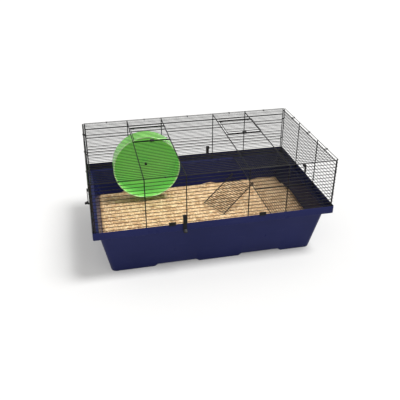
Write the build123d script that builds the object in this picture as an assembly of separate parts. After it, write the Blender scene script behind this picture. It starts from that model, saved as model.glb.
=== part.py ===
from build123d import *
import os
from math import cos, pi, radians, sin

os.makedirs("parts", exist_ok=True)

# Hamster cage, millimetres. X runs along the length, -Y is the front, +Z is up.
# The origin is the middle of the footprint, on the surface the tray stands on.

# Tray
LENGTH = 803.0
DEPTH = 510.0
RIM_Z = 188.0
WALL = 2.5
RIM_WALL = 1.6
LEDGE_Z = 164.0
RIM_RADIUS = 5.0
WALL_TOP = (766.0, 468.0, 16.0)
WALL_BASE = (704.0, 412.0, 18.0)
FOOT_HEIGHT = 8.0
FOOT_WIDTH = 14.0
FLOOR_Z = FOOT_HEIGHT + WALL
ARCH_RAMP = 14.0
FRONT_ARCHES = ((-208.0, -50.0), (86.0, 244.0))
END_ARCH = (-90.0, 90.0)

# Stop caps pushed onto the front rim
CAP_SIZE = (22.0, 4.6, 12.0)
CAP_RISE = 8.0
CAP_X = 150.0
CAP_SLOT_GAP = 0.1

# Wires of the top
THICK = 3.4
FINE = 2.0
ROWS = 16
TOP_Z = 357.0
FRONT_FACE = 249.0
SIDE_FACE = 397.7
ROOF_FACE = 353.6
CROSS_X = (102.0, 232.0)
FRONT_END_X = 391.7
SIDE_UPRIGHT_Y = (84.0, 243.0)
ROOF_EDGE_Y = 243.3
ROOF_END_X = 389.5
ROOF_COLUMNS = 42
BASE_WIRE_Z = LEDGE_Z + THICK / 2
TOP_WIRE_Z = TOP_Z - THICK / 2
ROW_PITCH = (TOP_WIRE_Z - BASE_WIRE_Z) / ROWS
ROOF_PITCH = 2 * ROOF_EDGE_Y / ROOF_COLUMNS
DOOR_STOP_INDEX = 24
HINGE_INDEX = 35
STOP_Y = -ROOF_EDGE_Y + DOOR_STOP_INDEX * ROOF_PITCH
HINGE_Y = -ROOF_EDGE_Y + HINGE_INDEX * ROOF_PITCH
ROOF_OVERHANG = 2.0

# Tie bands that hold the panels together
BAND_GAP = 0.05
BAND_THICKNESS = 1.0
BAND_WIDTH = 3.0

# Roof doors
DOOR_WIRE = 2.6
DOOR_LIFT = 0.3
DOOR_SIDE_GAP = 3.0
DOOR_Z = TOP_Z + DOOR_LIFT + DOOR_WIRE / 2
LOOP_CLEARANCE = 0.08
LOOP_OUTER = 3.0
LOOP_LENGTH = 5.0
LOOP_INSET = 8.0
CATCH_WIDTH = 14.0
CATCH_GAP = 0.4

# Rim clips
CLIP_WIDTH = 12.0
CLIP_ROW = 4
CLIP_BORE_CLEARANCE = 0.08
CLIP_KNUCKLE = 3.6
CLIP_ARM_THICKNESS = 2.6
CLIP_ARM_GAP = 0.4
CLIP_TAB_OUT = 11.0
CLIP_LIP = 2.4
FINE_FRONT_Y = FRONT_FACE + FINE / 2
FINE_SIDE_X = SIDE_FACE + FINE / 2
CLIP_Z = BASE_WIRE_Z + CLIP_ROW * ROW_PITCH
FRONT_CLIP_X = -110.0
BACK_CLIP_X = 84.0
LEFT_CLIP_Y = -10.0
RIGHT_CLIP_Y = 11.0

# Running wheel
WHEEL_X = -182.0
WHEEL_Z = 224.0
WHEEL_RADIUS = 122.0
WHEEL_FRONT_Y = 95.0
WHEEL_BACK_Y = 157.0
WHEEL_WALL = 2.4
BEAD_RADIUS = 2.0
HUB_RADIUS = 13.0
HUB_FRONT_Y = 134.0
AXLE_RADIUS = 3.0
AXLE_CLEARANCE = 0.08
AXLE_FRONT_Y = 129.0
CAP_RADIUS = 4.6
TREAD_COUNT = 40
TREAD_RADIUS = 1.0
POST_FRONT_Y = 160.0
POST_BACK_Y = 167.0
POST_TOP_WIDTH = 26.0
POST_FOOT_WIDTH = 46.0
STAND_BASE = (120.0, 84.0, 5.0)
STAND_BASE_Y = 150.0
WASHER_RADIUS = 8.0

# Shelf and ladder
SHELF_Z = LEDGE_Z + 1.5 * THICK
SHELF_LEFT_X = 189.5
SHELF_RIGHT_X = 386.0
SHELF_EDGE_Y = 241.0
SHELF_CROSS_Y = (-SHELF_EDGE_Y, -45.0, 127.0, SHELF_EDGE_Y)
SHELF_GAPS = 24
SHELF_PITCH = (SHELF_RIGHT_X - SHELF_LEFT_X) / SHELF_GAPS
LADDER_Y = -11.0
LADDER_YAW = 29.0
LADDER_TILT = 26.8
LADDER_LENGTH = 158.0
LADDER_WIDTH = 106.0
HOOK_RADIUS = 5.2
RUNG_COUNT = 19

# Bedding
BEDDING_TOP = ((-240.0, 95.0), (20.0, 94.0), (240.0, 69.0))
BEDDING_GAP = 0.4
BEDDING_CUT_GAP = 0.6


def wire(start, end, diameter):
    """A straight round wire between two points."""
    path = Vector(*end) - Vector(*start)
    base = Plane(origin=start, z_dir=path)
    return Solid.make_cylinder(diameter / 2, path.length, base)


def group(solids):
    return Compound(list(solids))


def wall_section(z, inset):
    """The tray wall's rounded outline at height z, moved in by inset."""
    share = z / LEDGE_Z
    size = [b + (t - b) * share for b, t in zip(WALL_BASE, WALL_TOP)]
    outline = RectangleRounded(size[0] - 2 * inset, size[1] - 2 * inset, size[2] - inset)
    return Pos(0, 0, z) * outline


def tray_hollow(inset, floor, top):
    return loft([wall_section(floor, inset), wall_section(top, inset)])


def rim_plate(low, high, outer, radius):
    plate = extrude(RectangleRounded(outer[0], outer[1], radius), high - low)
    return Pos(0, 0, low) * plate


def arch_cut(start, end):
    """A shallow arch under the foot ring, from start to end along X."""
    outline = Polyline(
        (start, -1),
        (start, 0),
        (start + ARCH_RAMP, FOOT_HEIGHT),
        (end - ARCH_RAMP, FOOT_HEIGHT),
        (end, 0),
        (end, -1),
        close=True,
    )
    section = Plane.XZ * make_face(outline)
    return extrude(section, DEPTH, both=True)


def tray():
    """Tapered tub, a ledge around its mouth, and an upstanding rim around the ledge."""
    body = tray_hollow(0, 0, LEDGE_Z)
    body += rim_plate(LEDGE_Z - WALL, LEDGE_Z, (LENGTH, DEPTH), RIM_RADIUS)
    band = rim_plate(LEDGE_Z - WALL, RIM_Z, (LENGTH, DEPTH), RIM_RADIUS)
    inner = (LENGTH - 2 * RIM_WALL, DEPTH - 2 * RIM_WALL)
    band -= rim_plate(LEDGE_Z, RIM_Z + 1, inner, RIM_RADIUS - RIM_WALL)
    body += band
    body -= tray_hollow(WALL, FLOOR_Z, LEDGE_Z + 0.01)
    body -= tray_hollow(FOOT_WIDTH, -1, FOOT_HEIGHT)
    for start, end in FRONT_ARCHES:
        body -= arch_cut(start, end)
    body -= Rot(0, 0, 90) * arch_cut(*END_ARCH)
    return body


def rim_caps():
    """Small caps that straddle the front rim and keep the wires from sliding over it."""
    cap = Box(*CAP_SIZE, align=(Align.CENTER, Align.CENTER, Align.MAX))
    cap = fillet(cap.edges().group_by(Axis.Z)[-1], 1.2)
    slot_depth = RIM_WALL + 2 * CAP_SLOT_GAP
    slot_top = CAP_SLOT_GAP - CAP_RISE
    cap -= Pos(0, 0, slot_top - CAP_SIZE[2] / 2) * Box(CAP_SIZE[0] + 2, slot_depth, CAP_SIZE[2])
    y = (RIM_WALL - DEPTH) / 2
    return group(Pos(x, y, RIM_Z + CAP_RISE) * cap for x in (-CAP_X, CAP_X))


def bedding():
    body = tray_hollow(WALL + BEDDING_GAP, FLOOR_Z, LEDGE_Z)
    low = FLOOR_Z - 1
    outline = Polyline((BEDDING_TOP[0][0], low), *BEDDING_TOP, (BEDDING_TOP[-1][0], low), close=True)
    body &= extrude(Plane.YZ * make_face(outline), LENGTH, both=True)
    gap = 2 * BEDDING_CUT_GAP
    post_size = (POST_FOOT_WIDTH + gap, POST_BACK_Y - POST_FRONT_Y + gap, WHEEL_Z)
    body -= Pos(WHEEL_X, (POST_FRONT_Y + POST_BACK_Y) / 2, WHEEL_Z / 2) * Box(*post_size)
    base_size = (STAND_BASE[0] + gap, STAND_BASE[1] + gap, 2 * (STAND_BASE[2] + BEDDING_CUT_GAP))
    body -= Pos(WHEEL_X, STAND_BASE_Y, FLOOR_Z) * Box(*base_size)
    return body


def row_heights():
    return [BASE_WIRE_Z + ROW_PITCH * row for row in range(ROWS + 1)]


def long_panel(side):
    """Front (-1) or back (+1) wire panel: uprights inside, rows outside."""
    wires = []
    upright_y = side * (FRONT_FACE - THICK / 2)
    for x in CROSS_X + (FRONT_END_X,):
        for sign in (-1, 1):
            wires.append(wire((sign * x, upright_y, LEDGE_Z), (sign * x, upright_y, TOP_Z), THICK))
    half = FRONT_END_X + THICK / 2
    y = side * (FRONT_FACE + FINE / 2)
    for z in row_heights():
        wires.append(wire((-half, y, z), (half, y, z), FINE))
    return group(wires)


def end_panel(side):
    """Left (-1) or right (+1) wire panel."""
    wires = []
    upright_x = side * (SIDE_FACE - THICK / 2)
    for y in SIDE_UPRIGHT_Y:
        for sign in (-1, 1):
            wires.append(wire((upright_x, sign * y, LEDGE_Z), (upright_x, sign * y, TOP_Z), THICK))
    half = SIDE_UPRIGHT_Y[-1] + THICK / 2
    x = side * (SIDE_FACE + FINE / 2)
    for z in row_heights():
        wires.append(wire((x, -half, z), (x, half, z), FINE))
    return group(wires)


def roof_row(index, start, end):
    """One roof wire along X, from start to end."""
    y = -ROOF_EDGE_Y + index * ROOF_PITCH
    z = ROOF_FACE + FINE / 2
    return wire((start, y, z), (end, y, z), FINE)


def roof_cross_wires():
    z = ROOF_FACE - THICK / 2
    half = ROOF_EDGE_Y + THICK / 2
    places = [sign * x for x in CROSS_X + (ROOF_END_X,) for sign in (-1, 1)]
    return group(wire((x, -half, z), (x, half, z), THICK) for x in places)


def roof_mesh_front():
    half = ROOF_END_X + ROOF_OVERHANG
    return group(roof_row(index, -half, half) for index in range(DOOR_STOP_INDEX))


def roof_mesh_back():
    half = ROOF_END_X + ROOF_OVERHANG
    return group(roof_row(index, -half, half) for index in range(HINGE_INDEX + 1, ROOF_COLUMNS + 1))


def roof_mesh_bay(start, end):
    """Roof wires between the two doors' ends, in one bay."""
    return group(roof_row(index, start, end) for index in range(DOOR_STOP_INDEX, HINGE_INDEX + 1))


def doorway_wires(y):
    """The thick wire across each doorway at one end of the doors."""
    z = ROOF_FACE + THICK / 2
    low, high = CROSS_X
    return group(wire((sign * low, y, z), (sign * high, y, z), THICK) for sign in (-1, 1))


def tie_band(first, second, thicker):
    """A flat band around two parallel wires, wide enough for the thicker of the two."""
    a, b = Vector(*first), Vector(*second)
    span = (b - a).length
    angle = Vector(1, 0, 0).get_signed_angle(b - a, Vector(0, 0, 1))
    inner = thicker / 2 + BAND_GAP
    ring = SlotCenterToCenter(span, 2 * (inner + BAND_THICKNESS)) - SlotCenterToCenter(span, 2 * inner)
    middle = (a + b) * 0.5
    placed = Pos(middle.X, middle.Y, 0) * Rot(0, 0, angle) * ring
    return extrude(placed, BAND_WIDTH / 2, both=True)


def panel_ties():
    bands = []
    edge = FRONT_FACE + FINE / 2
    for side in (-1, 1):
        band = tie_band((side * edge, TOP_WIRE_Z), (side * ROOF_EDGE_Y, ROOF_FACE + FINE / 2), FINE)
        for x in (-309.0, -167.0, 0.0, 167.0, 309.0):
            bands.append(Plane.YZ.offset(x).location * band)
    edge = SIDE_FACE + FINE / 2
    for side in (-1, 1):
        band = tie_band((side * edge, -TOP_WIRE_Z), (side * ROOF_END_X, THICK / 2 - ROOF_FACE), THICK)
        for gap in (7.5, 20.5, 33.5):
            y = -ROOF_EDGE_Y + gap * ROOF_PITCH
            bands.append(Pos(0, y, 0) * Rot(-90, 0, 0) * band)
    for sx in (-1, 1):
        for sy in (-1, 1):
            front = (sx * FRONT_END_X, sy * (FRONT_FACE - THICK / 2))
            end = (sx * (SIDE_FACE - THICK / 2), sy * SIDE_UPRIGHT_Y[-1])
            band = tie_band(front, end, THICK)
            for row in (5.5, 12.5):
                bands.append(Pos(0, 0, BASE_WIRE_Z + row * ROW_PITCH) * band)
    return group(bands)


def door_sides(side):
    low, high = CROSS_X[0] + DOOR_SIDE_GAP, CROSS_X[1] - DOOR_SIDE_GAP
    return sorted((side * low, side * high))


def door_frame(side):
    """Bent wire frame with two loops around the hinge wire."""
    left, right = door_sides(side)
    corners = [(left, STOP_Y), (right, STOP_Y), (right, HINGE_Y), (left, HINGE_Y)]
    frame = None
    for (x0, y0), (x1, y1) in zip(corners, corners[1:] + corners[:1]):
        piece = wire((x0, y0, DOOR_Z), (x1, y1, DOOR_Z), DOOR_WIRE)
        piece += Pos(x1, y1, DOOR_Z) * Sphere(DOOR_WIRE / 2)
        frame = piece if frame is None else frame + piece
    bore = THICK / 2 + LOOP_CLEARANCE
    for x in (left + LOOP_INSET, right - LOOP_INSET - LOOP_LENGTH):
        start, end = (x, HINGE_Y, TOP_WIRE_Z), (x + LOOP_LENGTH, HINGE_Y, TOP_WIRE_Z)
        frame += wire(start, end, 2 * LOOP_OUTER)
        frame -= wire(start, end, 2 * bore)
    return frame


def door_mesh(side):
    left, right = door_sides(side)
    z = DOOR_Z + DOOR_WIRE / 2 + FINE / 2
    rows = range(DOOR_STOP_INDEX + 1, HINGE_INDEX)
    heights = [-ROOF_EDGE_Y + row * ROOF_PITCH for row in rows]
    return group(wire((left - 1, y, z), (right + 1, y, z), FINE) for y in heights)


def door_catch(side):
    """Push-on catch that straddles the doorway wire, with a finger tab."""
    middle = side * sum(CROSS_X) / 2
    half_slot = THICK / 2 + CATCH_GAP
    low = TOP_WIRE_Z - 1.1
    high = DOOR_Z + DOOR_WIRE / 2 + 1.5
    block = Pos(middle, STOP_Y, (low + high) / 2) * Box(CATCH_WIDTH, 2 * half_slot + 5.0, high - low)
    tab_length = 13.0
    tab = Pos(middle, STOP_Y - tab_length / 2, high - 1.0) * Box(CATCH_WIDTH - 2, tab_length, 2.0)
    catch = block + tab
    slot_top = TOP_Z + 0.15
    catch -= Pos(middle, STOP_Y, slot_top / 2) * Box(CATCH_WIDTH + 2, 2 * half_slot, slot_top)
    edge = (middle - CATCH_WIDTH, STOP_Y, DOOR_Z), (middle + CATCH_WIDTH, STOP_Y, DOOR_Z)
    catch -= wire(*edge, DOOR_WIRE + 0.06)
    return catch


def rim_clip():
    """Clip at its pivot, for the front: it hangs down -Z and faces -Y."""
    rim_out = DEPTH / 2 - FINE_FRONT_Y
    arm_in = -(rim_out + CLIP_ARM_GAP)
    arm_out = arm_in - CLIP_ARM_THICKNESS
    drop = CLIP_Z - (LEDGE_Z - WALL)
    hook = (drop**2 + rim_out**2) ** 0.5 + CLIP_ARM_GAP
    head = Circle(CLIP_KNUCKLE) + Pos(arm_out / 2, 0) * Rectangle(-arm_out, 2 * CLIP_KNUCKLE)
    arm = Pos((arm_in + arm_out) / 2, -hook / 2) * Rectangle(CLIP_ARM_THICKNESS, hook)
    lip_band = Circle(hook + CLIP_LIP) - Circle(hook)
    lip = lip_band & (Pos(arm_out / 2, -hook) * Rectangle(-arm_out, 8.0))
    tab_root = -drop + 6
    tab = make_face(
        Polyline(
            (arm_in, tab_root),
            (arm_out, tab_root),
            (arm_out - CLIP_TAB_OUT, -hook + 2),
            (arm_out - CLIP_TAB_OUT, -hook - 1),
            (arm_in, -hook),
            close=True,
        )
    )
    profile = head + arm + lip + tab - Circle(FINE / 2 + CLIP_BORE_CLEARANCE)
    return extrude(Plane.YZ * profile, CLIP_WIDTH / 2, both=True)


def placed_clip(x, y, turn):
    return Pos(x, y, CLIP_Z) * Rot(0, 0, turn) * rim_clip()


def wheel_part(shape):
    """Turn a shape built along +Z so that it lies along the wheel's axis."""
    return Pos(WHEEL_X, 0, WHEEL_Z) * Rot(-90, 0, 0) * shape


def ring(inner, outer, start, end):
    tube = extrude(Circle(outer) - Circle(inner), end - start)
    return Pos(0, 0, start) * tube


def wheel_drum():
    bore = AXLE_RADIUS + AXLE_CLEARANCE
    drum = ring(WHEEL_RADIUS - WHEEL_WALL, WHEEL_RADIUS, WHEEL_FRONT_Y, WHEEL_BACK_Y)
    drum += ring(bore, WHEEL_RADIUS, WHEEL_BACK_Y - WHEEL_WALL, WHEEL_BACK_Y)
    drum += ring(bore, HUB_RADIUS, HUB_FRONT_Y, WHEEL_BACK_Y)
    bead = Torus(WHEEL_RADIUS - WHEEL_WALL / 2, BEAD_RADIUS)
    drum += Pos(0, 0, WHEEL_FRONT_Y) * bead
    return wheel_part(drum)


def wheel_treads():
    """Ribs across the running surface."""
    reach = WHEEL_RADIUS - WHEEL_WALL - TREAD_RADIUS
    start, end = WHEEL_FRONT_Y + BEAD_RADIUS + 1, WHEEL_BACK_Y - WHEEL_WALL
    ribs = []
    for index in range(TREAD_COUNT):
        angle = 2 * pi * index / TREAD_COUNT
        x, y = reach * cos(angle), reach * sin(angle)
        ribs.append(wheel_part(wire((x, y, start), (x, y, end), 2 * TREAD_RADIUS)))
    return group(ribs)


def wheel_axle():
    rod = extrude(Circle(AXLE_RADIUS), POST_BACK_Y - AXLE_FRONT_Y)
    return wheel_part(Pos(0, 0, AXLE_FRONT_Y) * rod)


def axle_cap():
    cap = Pos(0, 0, AXLE_FRONT_Y - 2) * extrude(Circle(CAP_RADIUS), HUB_FRONT_Y - AXLE_FRONT_Y + 1.7)
    cap = fillet(cap.edges().group_by(Axis.Z)[0], 1.5)
    cap -= Pos(0, 0, AXLE_FRONT_Y) * extrude(Circle(AXLE_RADIUS), 10)
    return wheel_part(cap)


def wheel_washer():
    return wheel_part(ring(AXLE_RADIUS, WASHER_RADIUS, WHEEL_BACK_Y + 0.3, POST_FRONT_Y))


def wheel_stand():
    top = WHEEL_Z + POST_TOP_WIDTH / 2
    half_top, half_foot = POST_TOP_WIDTH / 2, POST_FOOT_WIDTH / 2
    outline = Polyline(
        (WHEEL_X - half_foot, FLOOR_Z),
        (WHEEL_X - half_top, WHEEL_Z),
        (WHEEL_X + half_top, WHEEL_Z),
        (WHEEL_X + half_foot, FLOOR_Z),
        close=True,
    )
    thickness = POST_BACK_Y - POST_FRONT_Y
    post = Pos(0, POST_BACK_Y, 0) * extrude(Plane.XZ * make_face(outline), thickness)
    head = wheel_part(ring(0.5, half_top, POST_FRONT_Y, POST_BACK_Y))
    base = Pos(WHEEL_X, STAND_BASE_Y, FLOOR_Z + STAND_BASE[2] / 2) * Box(*STAND_BASE)
    bore = wheel_part(Pos(0, 0, POST_FRONT_Y - 1) * extrude(Circle(AXLE_RADIUS), thickness + 2))
    return post + head + base - bore


def shelf_edge_wires():
    reach = SHELF_EDGE_Y + THICK / 2
    places = (SHELF_LEFT_X, SHELF_RIGHT_X)
    return group(wire((x, -reach, SHELF_Z), (x, reach, SHELF_Z), THICK) for x in places)


def shelf_cross_wires():
    z = SHELF_Z - THICK
    ends = SHELF_LEFT_X - THICK / 2, SHELF_RIGHT_X + THICK / 2
    return group(wire((ends[0], y, z), (ends[1], y, z), THICK) for y in SHELF_CROSS_Y)


def shelf_mesh():
    z = SHELF_Z - THICK / 2 + FINE / 2
    reach = SHELF_EDGE_Y + THICK / 2
    places = [SHELF_LEFT_X + SHELF_PITCH * index for index in range(1, SHELF_GAPS)]
    return group(wire((x, -reach, z), (x, reach, z), FINE) for x in places)


def ladder_frame():
    """The ladder's own directions: rungs to its right, up along the rails, out of its top face."""
    yaw, tilt = radians(LADDER_YAW), radians(LADDER_TILT)
    across = Vector(sin(yaw), -cos(yaw), 0)
    rise = Vector(cos(yaw) * cos(tilt), sin(yaw) * cos(tilt), sin(tilt))
    return across, rise, across.cross(rise)


def ladder_rail(hook):
    """One rail, with the round hook at its top."""
    across, rise, _ = ladder_frame()
    foot = hook - rise * LADDER_LENGTH
    top = hook - rise * HOOK_RADIUS
    eye = Plane(origin=hook, z_dir=across).location * Torus(HOOK_RADIUS, THICK / 2)
    return eye + wire(tuple(foot), tuple(top), THICK)


def ladder_rails():
    across, _, _ = ladder_frame()
    right = Vector(SHELF_LEFT_X, LADDER_Y, SHELF_Z)
    return group([ladder_rail(right), ladder_rail(right - across * LADDER_WIDTH)])


def ladder_rungs():
    across, rise, out = ladder_frame()
    right = Vector(SHELF_LEFT_X, LADDER_Y, SHELF_Z) + out * (THICK + FINE) / 2
    step = (LADDER_LENGTH - 14.0) / (RUNG_COUNT - 1)
    rungs = []
    for index in range(RUNG_COUNT):
        start = right - rise * (LADDER_LENGTH - 2.0 - index * step) + across * 2.0
        end = start - across * (LADDER_WIDTH + 4.0)
        rungs.append(wire(tuple(start), tuple(end), FINE))
    return group(rungs)


PARTS = {
    "tray": tray(),
    "rim_caps": rim_caps(),
    "bedding": bedding(),
    "front_panel": long_panel(-1),
    "back_panel": long_panel(1),
    "left_panel": end_panel(-1),
    "right_panel": end_panel(1),
    "roof_cross_wires": roof_cross_wires(),
    "roof_mesh_front": roof_mesh_front(),
    "roof_mesh_back": roof_mesh_back(),
    "roof_mesh_left": roof_mesh_bay(-ROOF_END_X - ROOF_OVERHANG, -CROSS_X[1]),
    "roof_mesh_middle": roof_mesh_bay(-CROSS_X[0], CROSS_X[0]),
    "roof_mesh_right": roof_mesh_bay(CROSS_X[1], ROOF_END_X + ROOF_OVERHANG),
    "doorway_stop_wires": doorway_wires(STOP_Y),
    "doorway_hinge_wires": doorway_wires(HINGE_Y),
    "panel_ties": panel_ties(),
    "wheel_drum": wheel_drum(),
    "wheel_treads": wheel_treads(),
    "wheel_axle": wheel_axle(),
    "axle_cap": axle_cap(),
    "wheel_washer": wheel_washer(),
    "wheel_stand": wheel_stand(),
    "shelf_edge_wires": shelf_edge_wires(),
    "shelf_cross_wires": shelf_cross_wires(),
    "shelf_mesh": shelf_mesh(),
    "ladder_rails": ladder_rails(),
    "ladder_rungs": ladder_rungs(),
    "front_clip": placed_clip(FRONT_CLIP_X, -FINE_FRONT_Y, 0),
    "back_clip": placed_clip(BACK_CLIP_X, FINE_FRONT_Y, 180),
    "left_clip": placed_clip(-FINE_SIDE_X, LEFT_CLIP_Y, -90),
    "right_clip": placed_clip(FINE_SIDE_X, RIGHT_CLIP_Y, 90),
}
for name, side in (("left", -1), ("right", 1)):
    PARTS[f"{name}_door_frame"] = door_frame(side)
    PARTS[f"{name}_door_mesh"] = door_mesh(side)
    PARTS[f"{name}_door_catch"] = door_catch(side)

for node, shape in PARTS.items():
    export_step(shape, f"parts/{node}.step")
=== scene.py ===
from math import cos, pi, radians, sin

import bmesh
import bpy
from mathutils import Matrix, Vector, noise


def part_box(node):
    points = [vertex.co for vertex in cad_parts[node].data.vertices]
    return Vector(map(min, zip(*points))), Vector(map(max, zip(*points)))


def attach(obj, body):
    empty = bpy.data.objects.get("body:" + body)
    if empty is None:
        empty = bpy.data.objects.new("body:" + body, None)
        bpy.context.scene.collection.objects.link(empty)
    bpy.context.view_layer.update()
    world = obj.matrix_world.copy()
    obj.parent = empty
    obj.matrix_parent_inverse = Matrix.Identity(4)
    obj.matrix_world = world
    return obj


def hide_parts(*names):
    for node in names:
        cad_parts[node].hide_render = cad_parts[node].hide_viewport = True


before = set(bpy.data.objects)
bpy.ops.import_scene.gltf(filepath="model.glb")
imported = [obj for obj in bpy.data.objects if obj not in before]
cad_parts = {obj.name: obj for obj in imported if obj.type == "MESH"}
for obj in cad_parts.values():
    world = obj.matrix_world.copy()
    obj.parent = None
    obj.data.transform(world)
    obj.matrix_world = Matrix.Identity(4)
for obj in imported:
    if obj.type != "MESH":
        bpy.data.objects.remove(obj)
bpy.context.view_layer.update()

# Tub
TUB_LOW, TUB_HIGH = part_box("tray")
LENGTH = TUB_HIGH.x - TUB_LOW.x
DEPTH = TUB_HIGH.y - TUB_LOW.y
RIM_Z = TUB_HIGH.z
PANEL_LOW, PANEL_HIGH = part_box("front_panel")
LEDGE_Z = PANEL_LOW.z
WALL = 0.0025
RIM_WALL = 0.0016
RIM_RADIUS = 0.005
MOUTH = (0.766, 0.468, 0.016)
FOOT = (0.704, 0.412, 0.018)
FOOT_HEIGHT = 0.008
FOOT_WIDTH = 0.014
FLOOR_Z = FOOT_HEIGHT + WALL
ARCH_LIFT = 0.0074
ARCH_RAMP = 0.014
LONG_ARCHES = ((-0.208, -0.050), (0.086, 0.244))
END_ARCHES = ((-0.090, 0.090),)
CORNER_STEPS = 10
BEND_STEPS = 5

# Wires
THICK = 0.0034
FINE = 0.0020
ROWS = 16
ROOF_COLUMNS = 42
STOP_INDEX = 24
HINGE_INDEX = 35
WIRE_SIDES = 14
NUGGET = (0.0017, 0.0017, 0.0013)
CROSS_X = (0.102, 0.232)
END_UPRIGHT_Y = 0.084
DOOR_WIRE = 0.0026
LOOP_WIRE = 0.0012

LOOP_GAP = 0.00008
LOOP_TURNS = 4
DOOR_CORNER = 0.003

# Shelf and ladder
SHELF_GAPS = 24
SHELF_CROSS_Y = (-0.045, 0.127)
LADDER_YAW = radians(29.0)
LADDER_TILT = radians(26.8)
LADDER_LENGTH = 0.158
LADDER_WIDTH = 0.106
LADDER_Y = -0.011
HOOK_RADIUS = 0.0052
RUNG_COUNT = 19

# Litter
LITTER_FRONT = 0.0915
LITTER_BACK = 0.0685
LITTER_HIGHEST = 0.1020
LITTER_RINGS = 46
SLOPE_START_Y = 0.02
SLOPE_RUN = 0.21
HEAP = (0.335, 0.07)
HEAP_RISE = 0.0075
HEAP_SPREAD = 0.011
WHEEL_HOLLOW = 0.013
WALL_CLEARANCE = 0.0005
CURL_COUNT = 4600
CHIP_COUNT = 5200

# Wheel
WHEEL_LOW, WHEEL_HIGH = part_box("wheel_drum")
WHEEL_X = (WHEEL_LOW.x + WHEEL_HIGH.x) / 2
WHEEL_Z = (WHEEL_LOW.z + WHEEL_HIGH.z) / 2
BEAD = 0.0020
WHEEL_WALL = 0.0024
WHEEL_RADIUS = 0.122
WHEEL_FRONT = WHEEL_LOW.y + BEAD
WHEEL_BACK = WHEEL_HIGH.y
HUB_RADIUS = 0.013
HUB_FRONT = 0.134
AXLE_BORE = 0.00308
TREADS = 40
TREAD_RADIUS = 0.0010

# Studio
AIR_COLOUR = (1.0, 0.985, 0.955, 1.0)
AIR_STRENGTH = 0.88
KEY_DIRECTION = (0.34, -0.12, 0.93)
KEY_STRENGTH = 3.4
KEY_SPREAD = radians(20)
FLOOR_REACH = 30.0
CAMERA_PLACE = (-0.3840, -1.6945, 1.1005)
CAMERA_YAW = radians(-12.64)
CAMERA_PITCH = radians(60.55)
CAMERA_ROLL = radians(0.13)
LENS = 48.73
SENSOR = 36.0


# ---------------------------------------------------------------- materials

def add(tree, kind, settings=None, **sockets):
    """A node with its settings, and its sockets set to a value or joined to an output."""
    node = tree.nodes.new(kind)
    for key, value in (settings or {}).items():
        setattr(node, key, value)
    for key, value in sockets.items():
        plug(tree, node.inputs[key.replace("_", " ")], value)
    return node


def plug(tree, socket, value):
    """Join an output to a socket, or set the socket to a value."""
    if isinstance(value, bpy.types.NodeSocket):
        tree.links.new(value, socket)
    else:
        socket.default_value = value


def calc(tree, operation, first, second=0.0):
    """The result of one sum on two values or outputs."""
    node = tree.nodes.new("ShaderNodeMath")
    node.operation = operation
    plug(tree, node.inputs[0], first)
    plug(tree, node.inputs[1], second)
    return node.outputs[0]


def finish_of(name, **sockets):
    """A new material, its tree and its shader, with the shader's sockets set."""
    material = bpy.data.materials.new(name)
    material.use_nodes = True
    tree = material.node_tree
    shader = tree.nodes["Principled BSDF"]
    for key, value in sockets.items():
        shader.inputs[key.replace("_", " ")].default_value = value
    return material, tree, shader


def grain(tree, scale, detail=3.0, stretch=(1, 1, 1)):
    """Noise in the object's own coordinates."""
    place = add(tree, "ShaderNodeTexCoord")
    turned = add(tree, "ShaderNodeMapping", Vector=place.outputs["Object"], Scale=stretch)
    cloud = add(tree, "ShaderNodeTexNoise", Vector=turned.outputs[0], Scale=scale, Detail=detail)
    return cloud.outputs["Fac"]


def ramp(tree, value, *stops):
    """Colours or greys along a value, each stop a place and a colour."""
    node = add(tree, "ShaderNodeValToRGB", Fac=value)
    elements = node.color_ramp.elements
    while len(elements) < len(stops):
        elements.new(0.5)
    for element, (place, colour) in zip(elements, stops):
        element.position = place
        element.color = (*colour, 1.0) if hasattr(colour, "__len__") else (colour,) * 3 + (1.0,)
    return node.outputs["Color"]


def blend(tree, factor, first, second):
    """One colour fading into another."""
    node = add(tree, "ShaderNodeMix", {"data_type": "RGBA"})
    plug(tree, node.inputs["Factor"], factor)
    plug(tree, node.inputs[6], first)
    plug(tree, node.inputs[7], second)
    return node.outputs[2]


def place_along(tree, axis):
    """The object's own coordinate along one axis."""
    place = add(tree, "ShaderNodeTexCoord")
    return add(tree, "ShaderNodeSeparateXYZ", Vector=place.outputs["Object"]).outputs[axis]


def relief(tree, shader, *layers):
    """Bumps stacked on the shader's normal, each a height output and its depth in metres."""
    normal = None
    for height, depth in layers:
        bump = add(tree, "ShaderNodeBump", Height=height, Distance=depth, Strength=1.0)
        if normal is not None:
            tree.links.new(normal, bump.inputs["Normal"])
        normal = bump.outputs[0]
    tree.links.new(normal, shader.inputs["Normal"])


def moulded_navy():
    material, tree, shader = finish_of("moulded_navy", IOR=1.49, Specular_IOR_Level=0.10)
    cloud = grain(tree, 5.0)
    navy = ramp(tree, cloud, (0.3, (0.0088, 0.0118, 0.0590)), (0.7, (0.0126, 0.0160, 0.0760)))
    scuffs = ramp(tree, grain(tree, 60.0, 8.0, (0.25, 1, 1.6)), (0.60, 0.0), (0.74, 1.0))
    near_foot = ramp(tree, calc(tree, "MULTIPLY", place_along(tree, "Z"), 6.0), (0.0, 0.45), (0.35, 0.12))
    worn = calc(tree, "MULTIPLY", scuffs, near_foot)
    scuffed = blend(tree, worn, navy, (0.040, 0.046, 0.110, 1.0))
    tree.links.new(scuffed, shader.inputs["Base Color"])
    gloss = ramp(tree, grain(tree, 22.0, 5.0), (0.3, 0.27), (0.75, 0.38))
    tree.links.new(gloss, shader.inputs["Roughness"])
    relief(tree, shader, (grain(tree, 7.0, 1.0), 0.0008), (grain(tree, 1500.0, 2.0), 0.00005))
    return material


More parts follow.
